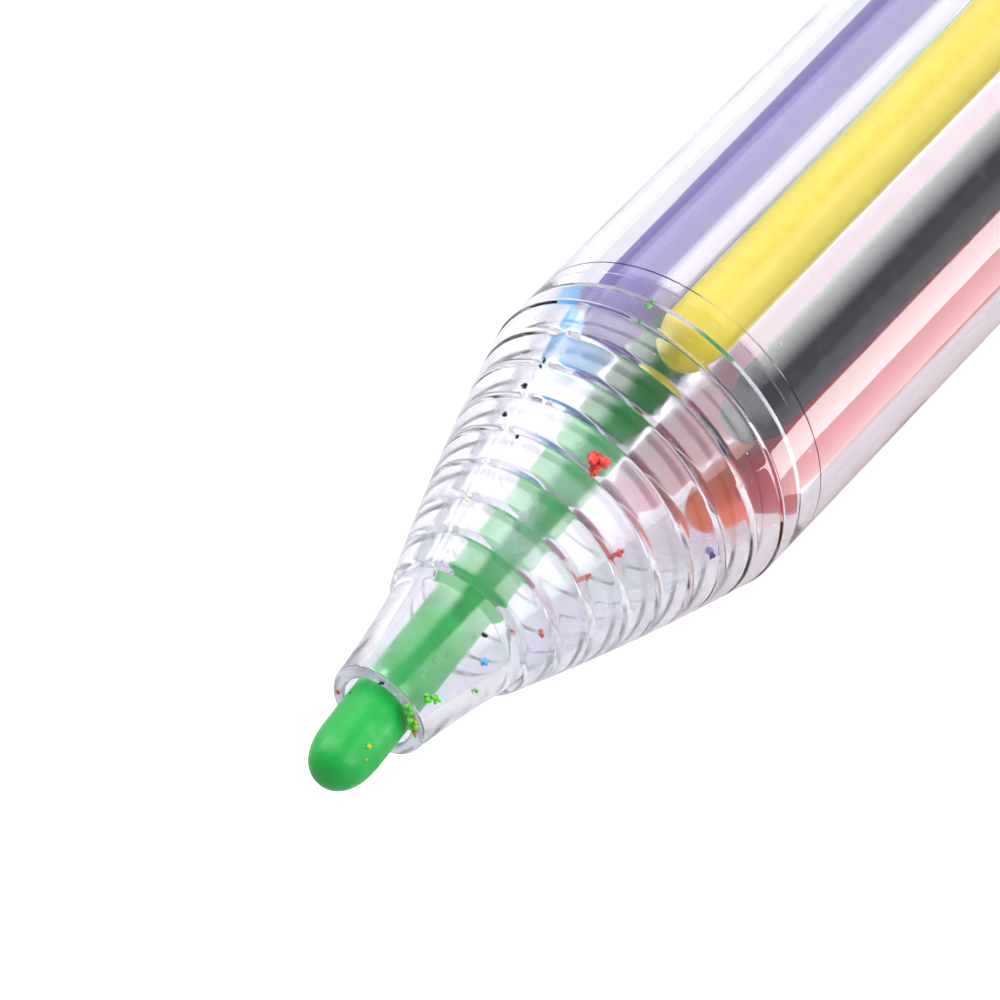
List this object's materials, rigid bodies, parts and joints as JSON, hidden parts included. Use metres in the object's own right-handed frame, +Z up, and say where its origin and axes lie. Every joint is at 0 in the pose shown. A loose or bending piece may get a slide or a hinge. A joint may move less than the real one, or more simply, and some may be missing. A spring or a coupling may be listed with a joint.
{
  "type": "multicolour push crayon",
  "caption": "Clear pen-shaped crayon with coloured wax sticks on sprung sliders; one is pushed out through the ribbed nose.",
  "frame": {"origin": "centre of the bounding box's base: the pen lies on two of its thumb pads, centred along its length", "axes": "+X along the barrel toward the writing tip, +Z up, +Y completes the right hand"},
  "size_m": [0.1528, 0.0232, 0.0232],
  "materials": {
    "clear": "clear polystyrene, polished",
    "cap": "clear moulded plastic",
    "frosted": "white moulded plastic",
    "steel": "drawn spring wire",
    "wax_yellow": "dense coloured wax",
    "plastic_yellow": "coloured moulded plastic",
    "wax_black": "dense coloured wax",
    "plastic_black": "coloured moulded plastic",
    "wax_red": "dense coloured wax",
    "plastic_red": "coloured moulded plastic",
    "wax_orange": "dense coloured wax",
    "plastic_orange": "coloured moulded plastic",
    "wax_magenta": "dense coloured wax",
    "plastic_magenta": "coloured moulded plastic",
    "wax_green": "dense coloured wax",
    "plastic_green": "coloured moulded plastic",
    "wax_blue": "dense coloured wax",
    "plastic_blue": "coloured moulded plastic",
    "wax_purple": "dense coloured wax",
    "plastic_purple": "coloured moulded plastic"
  },
  "bodies": {
    "barrel": {"front_barrel": "clear", "rear_barrel": "clear", "end_cap": "cap", "guide_plug": "frosted", "core": "frosted", "spring_yellow": "steel", "spring_black": "steel", "spring_red": "steel", "spring_orange": "steel", "spring_magenta": "steel", "spring_green": "steel", "spring_blue": "steel", "spring_purple": "steel"},
    "shuttle_black": {"slider_black": "plastic_black"},
    "stick_black": {"holder_black": "frosted", "crayon_black": "wax_black"},
    "shuttle_green": {"slider_green": "plastic_green"},
    "stick_green": {"holder_green": "frosted", "crayon_green": "wax_green"},
    "shuttle_yellow": {"slider_yellow": "plastic_yellow"},
    "stick_yellow": {"holder_yellow": "frosted", "crayon_yellow": "wax_yellow"},
    "shuttle_red": {"slider_red": "plastic_red"},
    "stick_red": {"holder_red": "frosted", "crayon_red": "wax_red"},
    "shuttle_orange": {"slider_orange": "plastic_orange"},
    "stick_orange": {"holder_orange": "frosted", "crayon_orange": "wax_orange"},
    "shuttle_magenta": {"slider_magenta": "plastic_magenta"},
    "stick_magenta": {"holder_magenta": "frosted", "crayon_magenta": "wax_magenta"},
    "shuttle_blue": {"slider_blue": "plastic_blue"},
    "stick_blue": {"holder_blue": "frosted", "crayon_blue": "wax_blue"},
    "shuttle_purple": {"slider_purple": "plastic_purple"},
    "stick_purple": {"holder_purple": "frosted", "crayon_purple": "wax_purple"}
  },
  "joints": [
    {"name": "slide_black", "type": "slide", "parent": "barrel", "child": "shuttle_black", "axis": [1, 0, 0], "range_m": [0, 0.03236], "deforming": ["spring_black"]},
    {"name": "swing_black", "type": "hinge", "parent": "shuttle_black", "child": "stick_black", "pos_m": [-0.00469, 0.00647, 0.01428], "axis": [0, 0.3827, -0.9239], "range_deg": [0, 8.89]},
    {"name": "slide_green", "type": "slide", "parent": "barrel", "child": "shuttle_green", "axis": [1, 0, 0], "range_m": [-0.03236, 0], "deforming": ["spring_green"]},
    {"name": "swing_green", "type": "hinge", "parent": "shuttle_green", "child": "stick_green", "pos_m": [0.02768, -0.00647, 0.00892], "axis": [0, -0.3827, 0.9239], "range_deg": [-8.89, 0]},
    {"name": "slide_yellow", "type": "slide", "parent": "barrel", "child": "shuttle_yellow", "axis": [1, 0, 0], "range_m": [0, 0.004], "stiffness_N_per_m": 60, "springref_m": -0.01, "deforming": ["spring_yellow"]},
    {"name": "swing_yellow", "type": "hinge", "parent": "shuttle_yellow", "child": "stick_yellow", "pos_m": [-0.00469, 0.00268, 0.01807], "axis": [0, 0.9239, -0.3827], "range_deg": [0, 1.1]},
    {"name": "slide_red", "type": "slide", "parent": "barrel", "child": "shuttle_red", "axis": [1, 0, 0], "range_m": [0, 0.004], "stiffness_N_per_m": 60, "springref_m": -0.01, "deforming": ["spring_red"]},
    {"name": "swing_red", "type": "hinge", "parent": "shuttle_red", "child": "stick_red", "pos_m": [-0.00469, 0.00647, 0.00892], "axis": [0, -0.3827, -0.9239], "range_deg": [0, 1.1]},
    {"name": "slide_orange", "type": "slide", "parent": "barrel", "child": "shuttle_orange", "axis": [1, 0, 0], "range_m": [0, 0.004], "stiffness_N_per_m": 60, "springref_m": -0.01, "deforming": ["spring_orange"]},
    {"name": "swing_orange", "type": "hinge", "parent": "shuttle_orange", "child": "stick_orange", "pos_m": [-0.00469, 0.00268, 0.00513], "axis": [0, -0.9239, -0.3827], "range_deg": [0, 1.1]},
    {"name": "slide_magenta", "type": "slide", "parent": "barrel", "child": "shuttle_magenta", "axis": [1, 0, 0], "range_m": [0, 0.004], "stiffness_N_per_m": 60, "springref_m": -0.01, "deforming": ["spring_magenta"]},
    {"name": "swing_magenta", "type": "hinge", "parent": "shuttle_magenta", "child": "stick_magenta", "pos_m": [-0.00469, -0.00268, 0.00513], "axis": [0, -0.9239, 0.3827], "range_deg": [0, 1.1]},
    {"name": "slide_blue", "type": "slide", "parent": "barrel", "child": "shuttle_blue", "axis": [1, 0, 0], "range_m": [0, 0.004], "stiffness_N_per_m": 60, "springref_m": -0.01, "deforming": ["spring_blue"]},
    {"name": "swing_blue", "type": "hinge", "parent": "shuttle_blue", "child": "stick_blue", "pos_m": [-0.00469, -0.00647, 0.01428], "axis": [0, 0.3827, 0.9239], "range_deg": [0, 1.1]},
    {"name": "slide_purple", "type": "slide", "parent": "barrel", "child": "shuttle_purple", "axis": [1, 0, 0], "range_m": [0, 0.004], "stiffness_N_per_m": 60, "springref_m": -0.01, "deforming": ["spring_purple"]},
    {"name": "swing_purple", "type": "hinge", "parent": "shuttle_purple", "child": "stick_purple", "pos_m": [-0.00469, -0.00268, 0.01807], "axis": [0, 0.9239, 0.3827], "range_deg": [0, 1.1]}
  ],
  "couplings": [
    {"joint": "swing_black", "follows": "slide_black", "rad_per_m": 4.7882},
    {"joint": "slide_green", "follows": "slide_black", "ratio": -1},
    {"joint": "swing_green", "follows": "slide_black", "rad_per_m": -4.7882},
    {"joint": "swing_yellow", "follows": "slide_yellow", "rad_per_m": 4.7882},
    {"joint": "swing_red", "follows": "slide_red", "rad_per_m": 4.7882},
    {"joint": "swing_orange", "follows": "slide_orange", "rad_per_m": 4.7882},
    {"joint": "swing_magenta", "follows": "slide_magenta", "rad_per_m": 4.7882},
    {"joint": "swing_blue", "follows": "slide_blue", "rad_per_m": 4.7882},
    {"joint": "swing_purple", "follows": "slide_purple", "rad_per_m": 4.7882}
  ]
}
